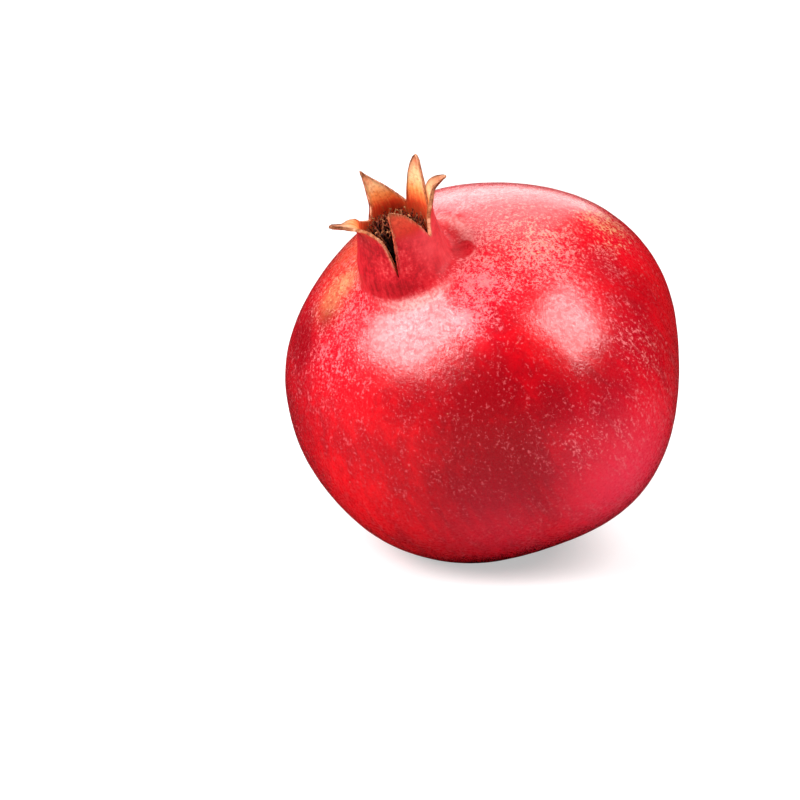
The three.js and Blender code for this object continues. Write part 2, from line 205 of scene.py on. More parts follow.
def fruit_rows(c):
    """Rows of points from the stalk end, up the rind, over the lobes and down to the cup's floor, each
    with what its finish follows: tube, lobe, inside and dry from 0 to 1, and the way out of the wall."""
    ph, n = c["ph"], len(c["ph"])
    zero, one = np.zeros(n), np.ones(n)
    rows = []

    def row(points, tube, lobe, inside, out=0):
        shares = tube * one, np.clip(lobe, 0, 1) * one, inside * one, c["dry"]
        rows.append((points, *shares, out * np.ones((n, 3))))

    last = np.pi - np.radians(SHOULDER + SHOULDER_TURN * np.sin(ph))
    for i in range(1, RIND_ROWS + 1):
        row(rind(last * i / RIND_ROWS, ph), 0, 0, 0)
    a, b = rows[-1][0], on_wall(c, FILLET_TOP * one, 0)
    reach = np.linalg.norm(b - a, axis=1, keepdims=True)
    leave = a + FILLET_PULL_BELOW * reach * unit(rind(last + 1e-3, ph) - a)
    arrive = b - FILLET_PULL_ABOVE * reach * unit(on_wall(c, (FILLET_TOP + 0.01) * one, 0) - b)
    for i in range(1, FILLET_ROWS + 1):
        t = i / FILLET_ROWS
        curve = (1 - t) ** 3 * a + 3 * (1 - t) ** 2 * t * leave + 3 * (1 - t) * t**2 * arrive + t**3 * b
        row(curve, t, 0, 0)
    thick = WALL + (c["tip_wall"] - WALL) * np.clip(c["top"] / c["length"], 0, 1)
    edge = TUBE + c["top"] - EDGE_ROUND * thick
    for i in range(1, OUTSIDE_ROWS + 1):
        s = FILLET_TOP + (edge - FILLET_TOP) * i / OUTSIDE_ROWS
        out = unit(on_wall(c, s, 0) - on_wall(c, s, 1))
        row(on_wall(c, s, 0), 1, (s - TUBE) / c["length"], 0, out)
    outer, inner = on_wall(c, edge, 0), on_wall(c, edge, 1)
    just_below = on_wall(c, edge - 0.4, 0)
    along = unit(outer - just_below) * EDGE_ROUND * thick[:, None]
    for i in range(1, RIM_ROWS + 1):
        q = np.pi * i / (RIM_ROWS + 1)
        share = (1 - np.cos(q)) / 2
        over = outer + (inner - outer) * share + along * np.sin(q)
        row(over, 1, (edge - TUBE) / c["length"], share, out * (1 - share))
    margin = rows[-(RIM_ROWS // 2 + 1)][0]
    for i in range(0, INSIDE_ROWS + 1):
        s = edge + (TUBE - CUP_DEPTH - edge) * i / INSIDE_ROWS
        row(on_wall(c, s, 1), 1, (s - TUBE) / c["length"], 1)
    for i in range(1, FLOOR_ROWS + 1):
        f = 1 - i / (FLOOR_ROWS + 1)
        s = TUBE - CUP_DEPTH - FLOOR_SAG * (1 - f * f)
        row(from_tube(FLOOR_RADIUS * f * np.cos(ph), FLOOR_RADIUS * f * np.sin(ph), s), 1, zero, 1)
    return rows, margin


def mesh_of_rows(name, points, around):
    """A closed mesh through rows of points, between its first point and its last."""
    count = (len(points) - 2) // around
    ring = np.arange(around)
    after = (ring + 1) % around
    faces = [(0, 1 + b, 1 + a) for a, b in zip(ring, after)]
    for row in range(count - 1):
        low, high = 1 + row * around, 1 + (row + 1) * around
        faces += [(low + a, low + b, high + b, high + a) for a, b in zip(ring, after)]
    low, end = 1 + (count - 1) * around, len(points) - 1
    faces += [(low + a, low + b, end) for a, b in zip(ring, after)]
    mesh = bpy.data.meshes.new(name)
    mesh.from_pydata(points.tolist(), [], [tuple(int(i) for i in face) for face in faces])
    mesh.polygons.foreach_set("use_smooth", [True] * len(mesh.polygons))
    return mesh


def give(mesh, name, values):
    """Stores one number, or one direction, for each point of a mesh."""
    values = np.asarray(values, dtype=float)
    kind, field = ("FLOAT", "value") if values.ndim == 1 else ("FLOAT_VECTOR", "vector")
    mesh.attributes.new(name, kind, "POINT").data.foreach_set(field, values.ravel())


def colour(text):
    """A linear colour from sRGB hex."""
    parts = [int(text[i : i + 2], 16) / 255 for i in (1, 3, 5)]
    return [v / 12.92 if v <= 0.04045 else ((v + 0.055) / 1.055) ** 2.4 for v in parts] + [1.0]


def feed(tree, node, inputs):
    """Gives a node its inputs: values, sockets, or nodes, which each give the first output that they use."""
    for socket, value in inputs.items():
        if isinstance(value, bpy.types.Node):
            value = next(output for output in value.outputs if output.enabled)
        if isinstance(value, bpy.types.NodeSocket):
            tree.links.new(value, node.inputs[socket])
        else:
            node.inputs[socket].default_value = value


def add(tree, kind, inputs=None, stops=(), **settings):
    """Adds one node, with its settings, its inputs and a ramp's stops. Inputs go by name or by number: a
    Map Range's are its value, the range that it comes from and the one that it goes to, and a Mix's
    are its share at 0 and its two colours at 6 and 7."""
    node = tree.nodes.new(kind)
    for key, value in settings.items():
        setattr(node, key, value)
    feed(tree, node, inputs or {})
    for i, (place, text) in enumerate(stops):
        if i >= len(node.color_ramp.elements):
            node.color_ramp.elements.new(1.0)
        node.color_ramp.elements[i].position = place
        node.color_ramp.elements[i].color = colour(text)
    return node


def start_material(name):
    material = bpy.data.materials.new(name)
    material.use_nodes = True
    tree = material.node_tree
    return material, tree, tree.nodes["Principled BSDF"]


# Places on the rind, as (degrees from the stalk end, direction, width in degrees, strength).
PATCHES = {
    "flush": [(156, -156, 5, 0.8), (151, -149, 6, 0.6), (150, 165, 14, 0.3), (95, 150, 24, 0.45)],
    # the blush: partly the rind's own deep crimson and partly painted shade
    "blush_and_shade": [
        (141, -12, 9, 0.5), (128, -32, 17, 1), (112, -45, 26, 1), (100, 22, 12, 0.4), (60, -60, 40, 0.4),
        (120, -130, 30, 0.5), (70, 110, 40, 0.5), (118, 34, 8, 0.5), (134, -140, 12, 1), (148, -139, 8, 0.9),
        (134, -58, 15, 0.7), (106, 28, 12, 0.6), (107, -8, 12, 0.6), (115, -18, 12, 0.9),
    ],
    # a painted reflection of the pale floor, pink on the lower skin
    "floor_reflection": [(80, -16, 19, 0.9), (85, -50, 20, 0.3), (60, 170, 35, 0.5)],
    "golden": [
        (140, 50, 20, 0.6), (114, 55, 14, 1), (96, 18, 14, 0.3), (130, 150, 25, 0.6), (152, -155, 11, 0.9),
    ],
    "mottled": [
        (153, 5, 13, 1.3), (150, 48, 14, 1), (138, 34, 14, 1.2), (115, 56, 12, 0.9), (124, 16, 12, 0.7),
        (108, 16, 14, 0.6), (119, 36, 9, 0.7), (103, -20, 11, 0.7), (92, -8, 18, 0.4), (149, -17, 9, 1.6),
        (150, -130, 24, 1), (157, -50, 14, 1), (147, 100, 30, 0.7), (80, 120, 40, 0.6), (90, -150, 30, 0.5),
        (60, 0, 30, 0.4), (120, 160, 30, 0.7),
    ],
}
# a spot of painted shade in the crease at the right of the tube's foot
CREASE_SHADE = [(161.3, 38, 4.0, 1)]
SHARES = ["tube", "facing", "painted_highlight", "shaded", "foot", "lobe", "inside", "dry", "margin", *PATCHES]


def patches(th, ph, places):
    """How strongly a set of soft round patches colours each point."""
    total = np.zeros_like(th)
    ways = stack(np.sin(th) * np.cos(ph), np.sin(th) * np.sin(ph), -np.cos(th))
    for polar, turn, width, strength in places:
        a, b = np.radians(polar), np.radians(turn)
        towards = np.array([np.sin(a) * np.cos(b), np.sin(a) * np.sin(b), -np.cos(a)])
        angle = np.degrees(np.arccos(np.clip(ways @ towards, -1, 1)))
        total = np.maximum(total, strength * bell(angle, width))
    return total


columns = make_columns()
rows, margin = fruit_rows(columns)
first, last = rind(np.zeros(1), np.zeros(1))[0], from_tube(0, 0, TUBE - CUP_DEPTH - FLOOR_SAG)
around = len(columns["ph"])


def along_rows(i, start, end):
    """What each point of the fruit is given, from the rows and the two end points."""
    return np.concatenate([start, *[row[i] for row in rows], end])


points = along_rows(0, [first], [last])
tube, lobe, inside, dry = (along_rows(i, [0], [end]) for i, end in ((1, 1), (2, 0), (3, 1), (4, 0)))
out_of_wall = along_rows(5, np.zeros((1, 3)), np.zeros((1, 3)))
# how far each point of the crown is from the lobes' edges, in mm, where all of the rind counts as far off
near = np.full(len(points), 9.0)
crown = np.nonzero(np.arange(len(points)) > RIND_ROWS * around)[0]
for some in np.array_split(crown, 20):
    near[some] = np.linalg.norm(points[some][:, None] - margin[None], axis=2).min(axis=1)
points += out_of_wall * (ROLLED_EDGE * bell(near, ROLL_WIDTH))[:, None]
fruit_mesh = mesh_of_rows("fruit", lie_down(points), around)

direction = np.arctan2(points[:, 1], points[:, 0])
polar = np.pi - np.arctan2(np.hypot(points[:, 0], points[:, 1]), points[:, 2])
spin = np.concatenate([[0], np.tile(columns["ph"], len(rows)), [0]])
steps = np.linalg.norm(np.diff(points[1:-1].reshape(-1, around, 3), axis=0), axis=2)
climbed = np.cumsum(np.concatenate([np.zeros((1, around)), steps]), axis=0)
travel = np.concatenate([[0], climbed.ravel(), [0]])
rise = ((points - TUBE_FRAME.translation) @ np.array(TUBE_FRAME)[:3, :3])[:, 2]


def turned(degrees):
    """How far round the fruit each point is from a direction, in radians."""
    return np.angle(np.exp(1j * (direction - np.radians(degrees))))


# the tube's foot is dark below and at its left, partly the rind's deeper red and partly painted shade in the
# crease, with a spot of painted shade of the same crimson in the crease at its right
ring = (0.1 + 1.2 * bell(turned(-90), 1.1)) * bell(tube - 0.65, 0.28)
side = 1.3 * bell(rise, 9) * bell(turned(-125), 0.9)
crease_shade = smooth(patches(polar, direction, CREASE_SHADE), 0.3, 0.6)
foot = np.maximum(np.maximum(ring, side) * smooth(tube, 0.28, 0.55) * (1 - inside), crease_shade)
# painted highlights: the skin is pale beside the tube and before it; and a painted sheen makes the tube pink
# where it faces the light
beside = bell(turned(75), 0.65) * bell(tube - 0.2, 0.2)
before = bell(turned(-45), 0.6) * bell(tube - 0.29, 0.15)
painted_highlight = np.maximum(0.9 * beside, 1.25 * before) * smooth(tube, 0, 0.12) * (1 - inside)
facing = bell(turned(20), 0.55) * smooth(tube, 0.3, 0.9)
# painted shadow of the curled lobes, on the tube just below their edges at its left
shaded = 1.8 * np.exp(-near / 3) * bell(turned(-120), 0.7) * (1 - inside) * smooth(rise, 7, 10)
for key, values in {
    "tube": tube,
    "foot": foot,
    "facing": facing,
    "painted_highlight": painted_highlight,
    "shaded": shaded,
    "lobe": lobe,
    "inside": inside,
    "dry": dry * lobe,
    "margin": np.exp(-near / 0.8),
    "grain": stack(np.cos(spin), np.sin(spin), travel / RADIUS),
    "flow": stack(points[:, 0], points[:, 1], travel) / RADIUS,
    "lifted": smooth(lie_down(points)[:, 2] / MM, 0.02, 1.5),
}.items():
    give(fruit_mesh, key, values)
# the marks thin out on the tube, and the mottling does on the blush and painted shade too
thinned = 1 - 0.6 * smooth(tube, 0.3, 1)
cleared = 1 - 0.85 * patches(polar, direction, PATCHES["blush_and_shade"])
for key, places in PATCHES.items():
    give(fruit_mesh, key, patches(polar, direction, places) * thinned * (cleared if key == "mottled" else 1))

# Pomegranate rind: a waxy leathery skin, polished by handling. It is deep crimson where the sun reached
# it, and elsewhere closely mottled with salmon and tan, with small corky pores. The lobes dried to straw
# yellow and tan, with brown edges.
CLOUD, BLOTCH, SPECK, PORE_CELL = 200 / 9, 6.25, 0.8, 5 / 3  # the sizes of its patterns, in mm
STROKES = (54, 54, 9)  # to one radius of the fruit: strokes come 0.9 mm apart across it and 5.4 mm along it
DRIFTS = (15, 15, 3)  # to one radius: drifts of marks come 3.3 mm apart across and 16 mm along
FIBRES = (11, 11, 9)  # to a radian of the tube and to one radius: fibres come 1 mm apart and 5.4 mm along
TO_MM = (1 / MM, 1 / MM, 1 / MM)
rind_material, tree, shader = start_material("waxy leathery rind")
place = add(tree, "ShaderNodeTexCoord").outputs["Object"]
in_mm = add(tree, "ShaderNodeVectorMath", {0: place, 1: TO_MM}, operation="MULTIPLY")
part = {key: add(tree, "ShaderNodeAttribute", attribute_name=key).outputs["Fac"] for key in SHARES}
grain = add(tree, "ShaderNodeAttribute", attribute_name="grain").outputs["Vector"]
flow = add(tree, "ShaderNodeAttribute", attribute_name="flow").outputs["Vector"]
lengthwise = add(tree, "ShaderNodeVectorMath", {0: flow, 1: STROKES}, operation="MULTIPLY")
fibrous = add(tree, "ShaderNodeVectorMath", {0: grain, 1: FIBRES}, operation="MULTIPLY")
drifting = add(tree, "ShaderNodeVectorMath", {0: flow, 1: DRIFTS}, operation="MULTIPLY")
clouds = add(tree, "ShaderNodeTexNoise", {"Vector": in_mm, "Scale": 1 / CLOUD, "Detail": 3})
blotches = add(tree, "ShaderNodeTexNoise", {
    "Vector": in_mm, "Scale": 1 / BLOTCH, "Detail": 5, "Roughness": 0.62})
speckle = add(tree, "ShaderNodeTexNoise", {
    "Vector": in_mm, "Scale": 1 / SPECK, "Detail": 2, "Roughness": 0.6})
streaks = add(tree, "ShaderNodeTexNoise", {
    "Vector": lengthwise, "Scale": 1, "Detail": 2, "Roughness": 0.6, "Distortion": 0.55})
fibres = add(tree, "ShaderNodeTexNoise", {"Vector": fibrous, "Scale": 1, "Detail": 4, "Roughness": 0.7})
drifts = add(tree, "ShaderNodeTexNoise", {
    "Vector": drifting, "Scale": 1, "Detail": 3, "Roughness": 0.6, "Distortion": 0.5})

# how deep the red is: the blush, partly the rind's own deep crimson and partly painted shade, broken up by
# clouds and drifts
depth = add(tree, "ShaderNodeMath", {0: drifts, 1: 0.9, 2: clouds}, operation="MULTIPLY_ADD")
depth = add(tree, "ShaderNodeMath", {0: part["blush_and_shade"], 1: 0.8, 2: depth}, operation="MULTIPLY_ADD")
depth = add(tree, "ShaderNodeMapRange", {0: depth, 1: 0.7, 2: 1.6})
skin = add(tree, "ShaderNodeValToRGB", {0: depth}, stops=[
    (0.0, "#e00c1a"), (0.3, "#d20412"), (0.6, "#b40210"), (1.0, "#90020e")])
# a painted reflection of the pale floor turns the lower skin pink
skin = add(tree, "ShaderNodeMix", {0: part["floor_reflection"], 6: skin, 7: colour("#e82c48")}, data_type="RGBA")
under = add(tree, "ShaderNodeMath", {0: part["mottled"], 1: 0.55}, operation="MULTIPLY", use_clamp=True)
skin = add(tree, "ShaderNodeMix", {0: under, 6: skin, 7: colour("#c01630")}, data_type="RGBA")

# the mottling: crooked strokes about 0.5 mm wide, a little coarser than they are so that they show,
# mixed with flecks, and crowded where the skin is paler
strokes = add(tree, "ShaderNodeMath", {0: streaks, 1: 0.5}, operation="SUBTRACT")
strokes = add(tree, "ShaderNodeMath", {0: strokes}, operation="ABSOLUTE")
strokes = add(tree, "ShaderNodeMapRange", {0: strokes, 1: 0.06, 2: 0.0})
flecks = add(tree, "ShaderNodeMapRange", {0: speckle, 1: 0.52, 2: 0.72})
marks = add(tree, "ShaderNodeMath", {0: strokes, 1: 0.7, 2: flecks}, operation="MULTIPLY_ADD")
crowds = add(tree, "ShaderNodeMapRange", {0: drifts, 1: 0.36, 2: 0.64})
dense = add(tree, "ShaderNodeMath", {0: crowds, 1: 0.7, 2: part["mottled"]}, operation="MULTIPLY_ADD")
dense = add(tree, "ShaderNodeMath", {0: dense, 1: 0.7, 2: marks}, operation="MULTIPLY_ADD")
pale = add(tree, "ShaderNodeMapRange", {0: dense, 1: 1.0, 2: 1.45})
shown = add(tree, "ShaderNodeMapRange", {0: part["mottled"], 1: 0.0, 2: 0.5, 3: 0.4})
pale = add(tree, "ShaderNodeMath", {0: pale, 1: shown}, operation="MULTIPLY")
tans = add(tree, "ShaderNodeMath", {0: part["golden"], 1: 0.6, 2: streaks}, operation="MULTIPLY_ADD")
tans = add(tree, "ShaderNodeMapRange", {0: tans, 1: 0.5, 2: 1.1})
salmon = add(tree, "ShaderNodeValToRGB", {0: tans}, stops=[
    (0.0, "#e4646c"), (0.5, "#e68078"), (1.0, "#e29c6c")])
skin = add(tree, "ShaderNodeMix", {0: pale, 6: skin, 7: salmon}, data_type="RGBA")

# yellow flush by the calyx and where a leaf kept the sun off, seen between the grains
yellow = add(tree, "ShaderNodeMapRange", {0: streaks, 1: 0.38, 2: 0.62, 3: 0.4, 4: 1.0})
yellow = add(tree, "ShaderNodeMath", {0: yellow, 1: part["flush"]}, operation="MULTIPLY", use_clamp=True)
skin = add(tree, "ShaderNodeMix", {0: yellow, 6: skin, 7: colour("#ec9a68")}, data_type="RGBA")

# corky pores: specks of 0.3 to 0.6 mm, one in each cell at most, in drifts
pores = add(tree, "ShaderNodeTexVoronoi", {"Vector": in_mm, "Scale": 1 / PORE_CELL})
chance = add(tree, "ShaderNodeSeparateColor", {0: pores.outputs["Color"]})
size = add(tree, "ShaderNodeMath", {0: chance, 1: 0.28, 2: -0.10}, operation="MULTIPLY_ADD")
size = add(tree, "ShaderNodeMath", {0: size, 1: pores.outputs["Distance"]}, operation="SUBTRACT")
pore = add(tree, "ShaderNodeMapRange", {0: size, 1: 0.0, 2: 0.06, 4: 0.65})
fewer = add(tree, "ShaderNodeMapRange", {0: part["blush_and_shade"], 3: 1.0, 4: 0.35})
pore = add(tree, "ShaderNodeMath", {0: pore, 1: fewer}, operation="MULTIPLY")
drifted = add(tree, "ShaderNodeMapRange", {0: drifts, 1: 0.4, 2: 0.6, 3: 0.3, 4: 1.0})
pore = add(tree, "ShaderNodeMath", {0: pore, 1: drifted}, operation="MULTIPLY")
skin = add(tree, "ShaderNodeMix", {0: pore, 6: skin, 7: colour("#e08070")}, data_type="RGBA")

# the tube: crimson mottled with coral, with orange fibres that run up it, and a painted pink sheen where it
# faces the light
strand = add(tree, "ShaderNodeMath", {0: speckle, 1: 0.4, 2: fibres}, operation="MULTIPLY_ADD")
strand = add(tree, "ShaderNodeMapRange", {0: strand, 1: 0.50, 2: 0.92})
spotted = add(tree, "ShaderNodeMath", {0: blotches, 1: 1.6, 2: -1.2}, operation="MULTIPLY_ADD")
spotted = add(tree, "ShaderNodeMath", {0: speckle, 1: 1.3, 2: spotted}, operation="MULTIPLY_ADD")
spotted = add(tree, "ShaderNodeMath", {0: strand, 1: 0.35, 2: spotted}, operation="MULTIPLY_ADD")
calyx = add(tree, "ShaderNodeValToRGB", {0: spotted}, stops=[
    (0.0, "#a60416"), (0.4, "#cc1020"), (0.72, "#de343a"), (1.0, "#ee706a")])
# painted sheen: pink on the tube where it faces the light
pink = add(tree, "ShaderNodeMapRange", {0: blotches, 1: 0.35, 2: 0.65, 3: 0.5, 4: 1.0})
pink = add(tree, "ShaderNodeMath", {0: pink, 1: part["facing"]}, operation="MULTIPLY")
calyx = add(tree, "ShaderNodeMix", {0: pink, 6: calyx, 7: colour("#e4484e")}, data_type="RGBA")
on_neck = add(tree, "ShaderNodeMapRange", {0: part["tube"], 1: 0.35, 2: 0.9})
skin = add(tree, "ShaderNodeMix", {0: on_neck, 6: skin, 7: calyx}, data_type="RGBA")

# a painted highlight, pale pink, on the skin beside the tube and before it; the dark crimson of the tube's
# foot, partly painted shade in its crease; and a painted shadow of the lobes on the tube's shaded side
# painted highlight: pale pink on the skin beside the tube and before it
painted_highlight = add(tree, "ShaderNodeMapRange", {0: speckle, 1: 0.4, 2: 0.6, 3: 0.45, 4: 1.0})
painted_highlight = add(tree, "ShaderNodeMath", {0: painted_highlight, 1: part["painted_highlight"]}, operation="MULTIPLY", use_clamp=True)
skin = add(tree, "ShaderNodeMix", {0: painted_highlight, 6: skin, 7: colour("#f4a09c")}, data_type="RGBA")
# painted shade in the crease at the tube's foot, over the rind's deeper red there: dark crimson
foot = add(tree, "ShaderNodeMath", {0: blotches, 1: 1.2, 2: 0.7}, operation="MULTIPLY_ADD")
foot = add(tree, "ShaderNodeMath", {0: foot, 1: part["foot"]}, operation="MULTIPLY", use_clamp=True)
crimson = add(tree, "ShaderNodeMath", {0: strand, 1: 0.6, 2: blotches}, operation="MULTIPLY_ADD")
crimson = add(tree, "ShaderNodeValToRGB", {0: crimson}, stops=[
    (0.45, "#90040e"), (0.7, "#b40818"), (1.0, "#c81e28")])
skin = add(tree, "ShaderNodeMix", {0: foot, 6: skin, 7: crimson}, data_type="RGBA")
# painted shadow of the lobes, dark brown-red
skin = add(tree, "ShaderNodeMix", {0: part["shaded"], 6: skin, 7: colour("#6a1812")}, data_type="RGBA")

# the lobes, freckled with russet: outside from red to a dry tan at the point, inside from red through
# orange and straw, and leathery where they are driest
height = add(tree, "ShaderNodeMath", {0: fibres, 1: 0.45, 2: -0.22}, operation="MULTIPLY_ADD")
height = add(tree, "ShaderNodeMath", {0: height, 1: part["lobe"]}, operation="ADD")
freckled = add(tree, "ShaderNodeMapRange", {0: speckle, 1: 0.46, 2: 0.66, 4: 0.55})
outer = add(tree, "ShaderNodeValToRGB", {0: height}, stops=[
    (0.0, "#c81c20"), (0.35, "#d63826"), (0.7, "#dc4e34"), (1.0, "#8a4428")])
outer = add(tree, "ShaderNodeMix", {0: freckled, 6: outer, 7: colour("#b02c1e")}, data_type="RGBA")
over_rim = add(tree, "ShaderNodeMapRange", {0: part["lobe"], 1: 0.0, 2: 0.25})
skin = add(tree, "ShaderNodeMix", {0: over_rim, 6: skin, 7: outer}, data_type="RGBA")
inner = add(tree, "ShaderNodeValToRGB", {0: height}, stops=[
    (0.0, "#e84a2a"), (0.1, "#f8743c"), (0.28, "#fea058"), (0.5, "#fecc94"), (0.72, "#f6ae80"),
    (0.93, "#843822")])
inner = add(tree, "ShaderNodeMix", {0: freckled, 6: inner, 7: colour("#d45c30")}, data_type="RGBA")
skin = add(tree, "ShaderNodeMix", {0: part["inside"], 6: skin, 7: inner}, data_type="RGBA")
leather = add(tree, "ShaderNodeValToRGB", {0: strand}, stops=[
    (0.25, "#642e22"), (0.55, "#b87452"), (0.85, "#dfa988")])
leathery = add(tree, "ShaderNodeMapRange", {0: part["dry"], 1: 0.1, 2: 0.6, 4: 0.9})
leathery = add(tree, "ShaderNodeMath", {0: leathery, 1: part["inside"]}, operation="MULTIPLY")
skin = add(tree, "ShaderNodeMix", {0: leathery, 6: skin, 7: leather}, data_type="RGBA")

# dried edges, pale tan to brown
dried = add(tree, "ShaderNodeValToRGB", {0: strand}, stops=[
    (0.2, "#6e341e"), (0.5, "#c07850"), (0.8, "#e8b08c")])
old = add(tree, "ShaderNodeMath", {0: part["dry"], 1: 0.6}, operation="MULTIPLY")
dried = add(tree, "ShaderNodeMix", {0: old, 6: dried, 7: colour("#6e3a22")}, data_type="RGBA")
at_edge = add(tree, "ShaderNodeMapRange", {0: part["margin"], 1: 0.2, 2: 0.5, 4: 0.85})
skin = add(tree, "ShaderNodeMix", {0: at_edge, 6: skin, 7: dried}, data_type="RGBA")

# gloss: waxy on the rind, duller on the tube and dull where the lobes are dry; pitted like fine leather
dull = add(tree, "ShaderNodeMapRange", {0: part["tube"], 1: 0.25, 2: 0.6, 4: 0.55})
dull = add(tree, "ShaderNodeMath", {0: dull, 1: part["lobe"]}, operation="MAXIMUM")
dull = add(tree, "ShaderNodeMath", {0: dull, 1: part["inside"]}, operation="MAXIMUM")
rough = add(tree, "ShaderNodeMapRange", {0: dull, 3: 0.22, 4: 0.6})
rough = add(tree, "ShaderNodeMath", {0: speckle, 1: 0.12, 2: rough}, operation="MULTIPLY_ADD")
waxed = add(tree, "ShaderNodeMapRange", {0: streaks, 1: 0.35, 2: 0.65, 3: 0.36, 4: 0.86})
wax = add(tree, "ShaderNodeMapRange", {0: dull, 2: 0.6, 3: 1.0, 4: 0.0})
wax = add(tree, "ShaderNodeMath", {0: wax, 1: waxed}, operation="MULTIPLY")
bare = add(tree, "ShaderNodeMapRange", {0: part["foot"], 3: 1.0, 4: 0.15})
wax = add(tree, "ShaderNodeMath", {0: wax, 1: bare}, operation="MULTIPLY")
pits = add(tree, "ShaderNodeMath", {0: strokes, 1: 0.12, 2: speckle}, operation="MULTIPLY_ADD")
pitted = add(tree, "ShaderNodeBump", {"Height": pits, "Strength": 1.0, "Distance": 0.05 * MM})
feed(tree, shader, {
    "Base Color": skin, "Roughness": rough, "Normal": pitted, "IOR": 1.25, "Specular Tint": colour("#ffdcdc"),
    "Coat Weight": wax, "Coat Roughness": 0.2, "Coat IOR": 1.6, "Coat Normal": pitted})

# The relief of the skin: low swellings 14 mm across, pebbling 3.6 mm across like leather, and ribs of
# fibre 1 mm apart up the tube. It only ever sinks the surface, so the fruit keeps its size.
RELIEF = {"Swelling": 0.3 * MM, "Pebbles": 0.10 * MM, "Ribs": 0.3 * MM, "Seed": 3.0}
SWELLINGS_PER_MM, PEBBLES_PER_MM, RIBS = 0.07, 0.28, (9, 9, 1.6)


def start_tree(name, inputs):
    """A Geometry Nodes tree with its inputs, and the identifiers of their sockets."""
    tree = bpy.data.node_groups.new(name, "GeometryNodeTree")
    tree.is_modifier = True
    tree.interface.new_socket("Geometry", in_out="INPUT", socket_type="NodeSocketGeometry")
    tree.interface.new_socket("Geometry", in_out="OUTPUT", socket_type="NodeSocketGeometry")
    sockets = {}
    for key, value in inputs.items():
        kind = {int: "Int", float: "Float"}.get(type(value), "Material")
        socket = tree.interface.new_socket(key, in_out="INPUT", socket_type="NodeSocket" + kind)
        sockets[key] = socket.identifier
    return tree, sockets, add(tree, "NodeGroupInput").outputs


def settle(obj):
    """Turns an object's modifiers into its plain mesh."""
    graph = bpy.context.evaluated_depsgraph_get()
    mesh = bpy.data.meshes.new_from_object(
        obj.evaluated_get(graph), preserve_all_data_layers=True, depsgraph=graph)
    obj.modifiers.clear()
    obj.data = mesh
    return obj


def new_object(name, mesh):
    obj = bpy.data.objects.new(name, mesh)
    bpy.context.scene.collection.objects.link(obj)
    return obj


def through_nodes(obj, tree, sockets, inputs):
    """Runs a Geometry Nodes tree on an object with its inputs set, and keeps the result."""
    modifier = obj.modifiers.new(tree.name, "NODES")
    modifier.node_group = tree
    for key, value in inputs.items():
        modifier[sockets[key]] = value
    return settle(obj)


relief_inputs = {**RELIEF, "Skin": rind_material}
relief, relief_sockets, given = start_tree("rind relief", relief_inputs)
position = add(relief, "GeometryNodeInputPosition")
scaled = add(relief, "ShaderNodeVectorMath", {0: position, 1: TO_MM}, operation="MULTIPLY")
named = {
    key: add(relief, "GeometryNodeInputNamedAttribute", {"Name": key}, data_type=kind)
    for key, kind in (("tube", "FLOAT"), ("lifted", "FLOAT"), ("grain", "FLOAT_VECTOR"))
}
upward = add(relief, "ShaderNodeVectorMath", {0: named["grain"], 1: RIBS}, operation="MULTIPLY")
swell = add(relief, "ShaderNodeTexNoise", {
    "Vector": scaled, "W": given["Seed"], "Scale": SWELLINGS_PER_MM, "Detail": 2}, noise_dimensions="4D")
pebble = add(relief, "ShaderNodeTexNoise", {
    "Vector": scaled, "W": given["Seed"], "Scale": PEBBLES_PER_MM, "Detail": 1}, noise_dimensions="4D")
rib = add(relief, "ShaderNodeTexNoise", {
    "Vector": upward, "W": given["Seed"], "Scale": 1, "Detail": 3, "Roughness": 0.6}, noise_dimensions="4D")
on_tube = add(relief, "ShaderNodeMath", {0: named["tube"], 1: 3.0}, operation="POWER")
on_tube = add(relief, "ShaderNodeMath", {0: rib, 1: on_tube}, operation="MULTIPLY")
sunk = add(relief, "ShaderNodeMath", {0: swell, 1: given["Swelling"]}, operation="MULTIPLY")
sunk = add(relief, "ShaderNodeMath", {0: pebble, 1: given["Pebbles"], 2: sunk}, operation="MULTIPLY_ADD")
sunk = add(relief, "ShaderNodeMath", {0: on_tube, 1: given["Ribs"], 2: sunk}, operation="MULTIPLY_ADD")
sunk = add(relief, "ShaderNodeMath", {0: sunk, 1: named["lifted"]}, operation="MULTIPLY")
sunk = add(relief, "ShaderNodeMath", {0: sunk, 1: -1.0}, operation="MULTIPLY")
normal = add(relief, "GeometryNodeInputNormal")
inward = add(relief, "ShaderNodeVectorMath", {0: normal, "Scale": sunk}, operation="SCALE")
shaped = add(relief, "GeometryNodeSetPosition", {"Geometry": given["Geometry"], "Offset": inward})
whole = add(relief, "GeometryNodeRealizeInstances", {0: shaped})
done = add(relief, "GeometryNodeSetMaterial", {"Geometry": whole, "Material": given["Skin"]})
add(relief, "NodeGroupOutput", {0: done})

fruit = through_nodes(new_object("rind_and_crown", fruit_mesh), relief, relief_sockets, relief_inputs)
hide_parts("fruit")
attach(fruit, "root")


# ---------------------------------------------------------------------------------------------------
# The stamens: the dried threads of the flower, with an anther on each, packed into the calyx tube.
# They grow from the floor and wall of the tube and have tangled as they dried.
# ---------------------------------------------------------------------------------------------------

TUFT = {
    "Threads": 430, "Spread": 6.7 * MM, "Length": 10.4 * MM, "Thread radius": 0.15 * MM,
    "Anther radius": 0.27 * MM, "Splay": 0.3, "Seed": 7,
}
PAD_HEIGHT = 3.6
ROOM, BENT_OVER = 7.15, 1.2  # how far out the threads may reach in the tube, and how softly they bend there
THREAD_END = (0.10, 0.12, 0.98)
HOLLOW, HOLLOW_EDGE = (3.2 * MM, -4.6 * MM, 0), (2.8 * MM, 4.8 * MM)  # where they broke short, by the tear
GOLDEN_TURN = 2.39996  # radians from one thread's root to the next, so that they spread evenly
# DARKENING: how far under the rim the painted shade on the threads starts and is full, in mm
ANTHERS, DARKENING = (7.2, 9.2), (1.5, 5.0)  # where they start over the pad, and how far under the rim, in mm
